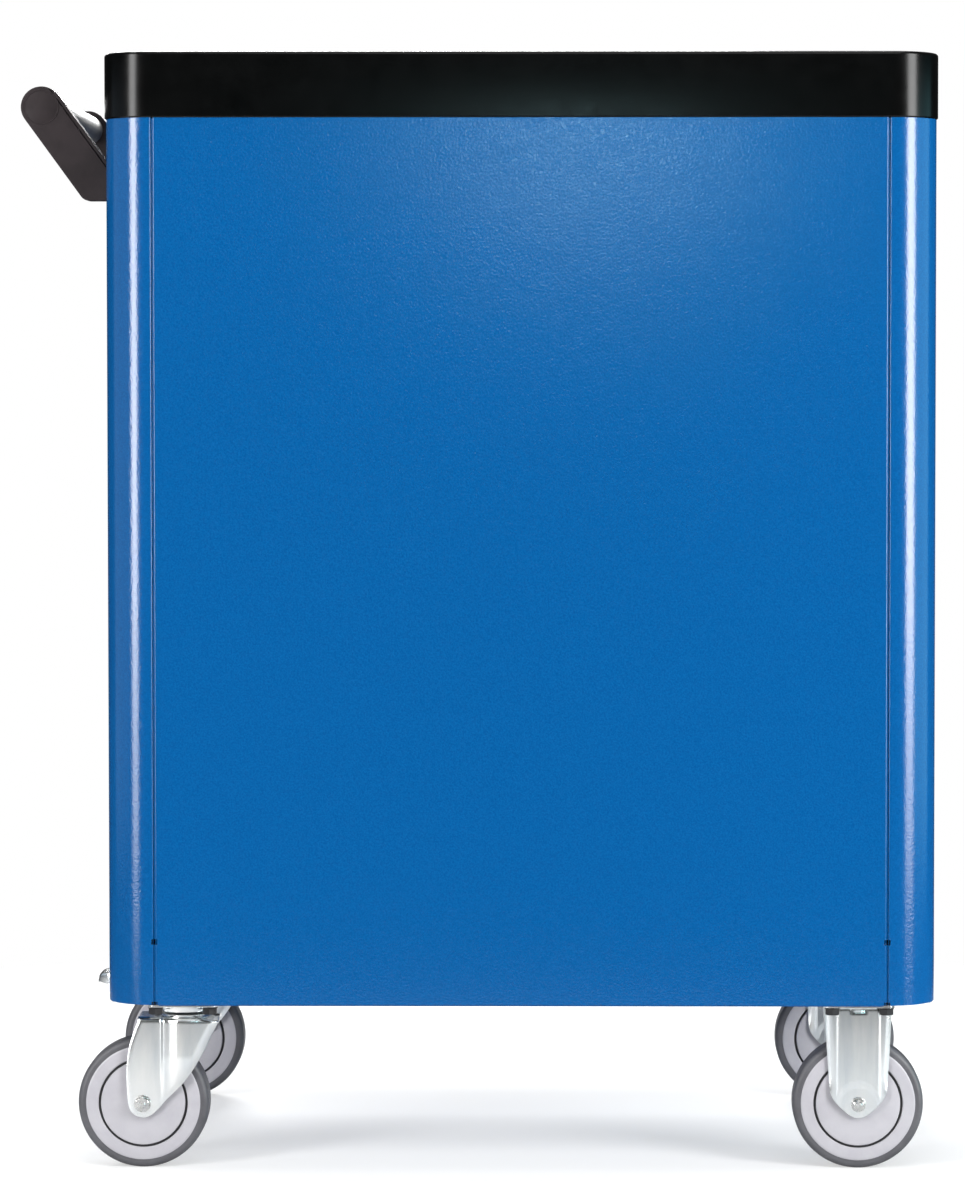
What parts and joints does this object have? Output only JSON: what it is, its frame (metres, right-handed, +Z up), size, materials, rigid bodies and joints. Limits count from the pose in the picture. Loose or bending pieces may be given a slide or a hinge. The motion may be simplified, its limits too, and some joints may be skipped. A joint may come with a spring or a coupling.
{
  "type": "rolling tool chest",
  "caption": "Steel roller cabinet with sliding drawers, central lock, moulded top tray, side push handle, swivel casters at the handle end and fixed casters at the other.",
  "frame": {"origin": "centre of the whole footprint, handle included, on the floor", "axes": "+Z up; the drawers face -Y, the plain rear panel faces +Y; the push handle is on the +X side"},
  "size_m": [0.874, 0.483, 1.063],
  "materials": {
    "body_paint": "satin powder coat",
    "drawer_paint": "matte powder coat",
    "slide_steel": "zinc plated",
    "tray_plastic": "fine moulded grain",
    "mat_rubber": "ribbed",
    "handle_plastic": "matte",
    "grip_tube": "satin",
    "zinc_steel": "bright zinc",
    "lock_metal": "satin chrome",
    "black_steel": "black oxide",
    "tyre_rubber": "smooth grey rubber",
    "rim_plastic": "smooth moulded"
  },
  "bodies": {
    "cabinet": {"handle_side_wall": "body_paint", "plain_side_wall": "body_paint", "rear_panel": "body_paint", "base_frame": "body_paint", "top_frame": "body_paint", "slide_posts": "slide_steel", "cabinet_slides": "slide_steel", "top_tray": "tray_plastic", "tray_mat": "mat_rubber", "handle_bracket_rear": "handle_plastic", "handle_bracket_front": "handle_plastic", "handle_tube": "grip_tube", "handle_end_caps": "handle_plastic", "handle_screws": "zinc_steel", "lock_housing": "lock_metal", "fixed_bracket_rear": "zinc_steel", "fixed_bracket_front": "zinc_steel", "fixed_axles": "zinc_steel", "swivel_plates": "zinc_steel", "caster_bolts": "black_steel"},
    "lock_barrel": {"lock_barrel": "lock_metal", "lock_cam": "zinc_steel"},
    "lock_bar": {"lock_bar": "zinc_steel"},
    "rear_swivel": {"swivel_fork_rear": "zinc_steel", "swivel_axle_rear": "zinc_steel"},
    "front_swivel": {"swivel_fork_front": "zinc_steel", "swivel_axle_front": "zinc_steel"},
    "brake_pedal": {"brake_pedal": "zinc_steel"},
    "rear_swivel_wheel": {"rear_swivel_tyre": "tyre_rubber", "rear_swivel_rim": "rim_plastic"},
    "front_swivel_wheel": {"front_swivel_tyre": "tyre_rubber", "front_swivel_rim": "rim_plastic"},
    "rear_fixed_wheel": {"rear_fixed_tyre": "tyre_rubber", "rear_fixed_rim": "rim_plastic"},
    "front_fixed_wheel": {"front_fixed_tyre": "tyre_rubber", "front_fixed_rim": "rim_plastic"},
    "drawer_1": {"drawer_1_box": "drawer_paint", "drawer_1_front": "body_paint", "drawer_1_runners": "slide_steel"},
    "drawer_1_middle": {"drawer_1_middle_slides": "slide_steel"},
    "drawer_2": {"drawer_2_box": "drawer_paint", "drawer_2_front": "body_paint", "drawer_2_runners": "slide_steel"},
    "drawer_2_middle": {"drawer_2_middle_slides": "slide_steel"},
    "drawer_3": {"drawer_3_box": "drawer_paint", "drawer_3_front": "body_paint", "drawer_3_runners": "slide_steel"},
    "drawer_3_middle": {"drawer_3_middle_slides": "slide_steel"},
    "drawer_4": {"drawer_4_box": "drawer_paint", "drawer_4_front": "body_paint", "drawer_4_runners": "slide_steel"},
    "drawer_4_middle": {"drawer_4_middle_slides": "slide_steel"},
    "drawer_5": {"drawer_5_box": "drawer_paint", "drawer_5_front": "body_paint", "drawer_5_runners": "slide_steel"},
    "drawer_5_middle": {"drawer_5_middle_slides": "slide_steel"},
    "drawer_6": {"drawer_6_box": "drawer_paint", "drawer_6_front": "body_paint", "drawer_6_runners": "slide_steel"},
    "drawer_6_middle": {"drawer_6_middle_slides": "slide_steel"}
  },
  "joints": [
    {"name": "drawer_1_slide", "type": "slide", "parent": "cabinet", "child": "drawer_1", "axis": [0, -1, 0], "range_m": [0, 0.39]},
    {"name": "drawer_1_middle_slide", "type": "slide", "parent": "cabinet", "child": "drawer_1_middle", "axis": [0, -1, 0], "range_m": [0, 0.1955]},
    {"name": "drawer_2_slide", "type": "slide", "parent": "cabinet", "child": "drawer_2", "axis": [0, -1, 0], "range_m": [0, 0.39]},
    {"name": "drawer_2_middle_slide", "type": "slide", "parent": "cabinet", "child": "drawer_2_middle", "axis": [0, -1, 0], "range_m": [0, 0.1955]},
    {"name": "drawer_3_slide", "type": "slide", "parent": "cabinet", "child": "drawer_3", "axis": [0, -1, 0], "range_m": [0, 0.39]},
    {"name": "drawer_3_middle_slide", "type": "slide", "parent": "cabinet", "child": "drawer_3_middle", "axis": [0, -1, 0], "range_m": [0, 0.1955]},
    {"name": "drawer_4_slide", "type": "slide", "parent": "cabinet", "child": "drawer_4", "axis": [0, -1, 0], "range_m": [0, 0.39]},
    {"name": "drawer_4_middle_slide", "type": "slide", "parent": "cabinet", "child": "drawer_4_middle", "axis": [0, -1, 0], "range_m": [0, 0.1955]},
    {"name": "drawer_5_slide", "type": "slide", "parent": "cabinet", "child": "drawer_5", "axis": [0, -1, 0], "range_m": [0, 0.39]},
    {"name": "drawer_5_middle_slide", "type": "slide", "parent": "cabinet", "child": "drawer_5_middle", "axis": [0, -1, 0], "range_m": [0, 0.1955]},
    {"name": "drawer_6_slide", "type": "slide", "parent": "cabinet", "child": "drawer_6", "axis": [0, -1, 0], "range_m": [0, 0.39]},
    {"name": "drawer_6_middle_slide", "type": "slide", "parent": "cabinet", "child": "drawer_6_middle", "axis": [0, -1, 0], "range_m": [0, 0.1955]},
    {"name": "lock_turn", "type": "hinge", "parent": "cabinet", "child": "lock_barrel", "pos_m": [0.2815, -0.24, 0.98], "axis": [0, -1, 0], "range_deg": [0, 90]},
    {"name": "lock_bar_lift", "type": "slide", "parent": "cabinet", "child": "lock_bar", "axis": [0, 0, 1], "range_m": [0, 0.01283]},
    {"name": "rear_swivel_turn", "type": "hinge", "parent": "cabinet", "child": "rear_swivel", "pos_m": [0.2815, 0.194, 0.145], "axis": [0, 0, 1], "continuous": true},
    {"name": "rear_swivel_wheel_spin", "type": "hinge", "parent": "rear_swivel", "child": "rear_swivel_wheel", "pos_m": [0.3215, 0.194, 0.0625], "axis": [0, 1, 0], "continuous": true},
    {"name": "rear_fixed_wheel_spin", "type": "hinge", "parent": "cabinet", "child": "rear_fixed_wheel", "pos_m": [-0.3625, 0.194, 0.0625], "axis": [0, 1, 0], "continuous": true},
    {"name": "front_swivel_turn", "type": "hinge", "parent": "cabinet", "child": "front_swivel", "pos_m": [0.2815, -0.194, 0.145], "axis": [0, 0, 1], "continuous": true},
    {"name": "front_swivel_wheel_spin", "type": "hinge", "parent": "front_swivel", "child": "front_swivel_wheel", "pos_m": [0.3215, -0.194, 0.0625], "axis": [0, 1, 0], "continuous": true},
    {"name": "front_fixed_wheel_spin", "type": "hinge", "parent": "cabinet", "child": "front_fixed_wheel", "pos_m": [-0.3625, -0.194, 0.0625], "axis": [0, 1, 0], "continuous": true},
    {"name": "brake_press", "type": "hinge", "parent": "front_swivel", "child": "brake_pedal", "pos_m": [0.3055, -0.194, 0.134], "axis": [0, 1, 0], "range_deg": [0, 10]}
  ],
  "couplings": [
    {"joint": "drawer_1_middle_slide", "follows": "drawer_1_slide", "ratio": 0.5},
    {"joint": "drawer_2_middle_slide", "follows": "drawer_2_slide", "ratio": 0.5},
    {"joint": "drawer_3_middle_slide", "follows": "drawer_3_slide", "ratio": 0.5},
    {"joint": "drawer_4_middle_slide", "follows": "drawer_4_slide", "ratio": 0.5},
    {"joint": "drawer_5_middle_slide", "follows": "drawer_5_slide", "ratio": 0.5},
    {"joint": "drawer_6_middle_slide", "follows": "drawer_6_slide", "ratio": 0.5},
    {"joint": "lock_bar_lift", "follows": "lock_turn", "m_per_rad": 0.0081028}
  ]
}
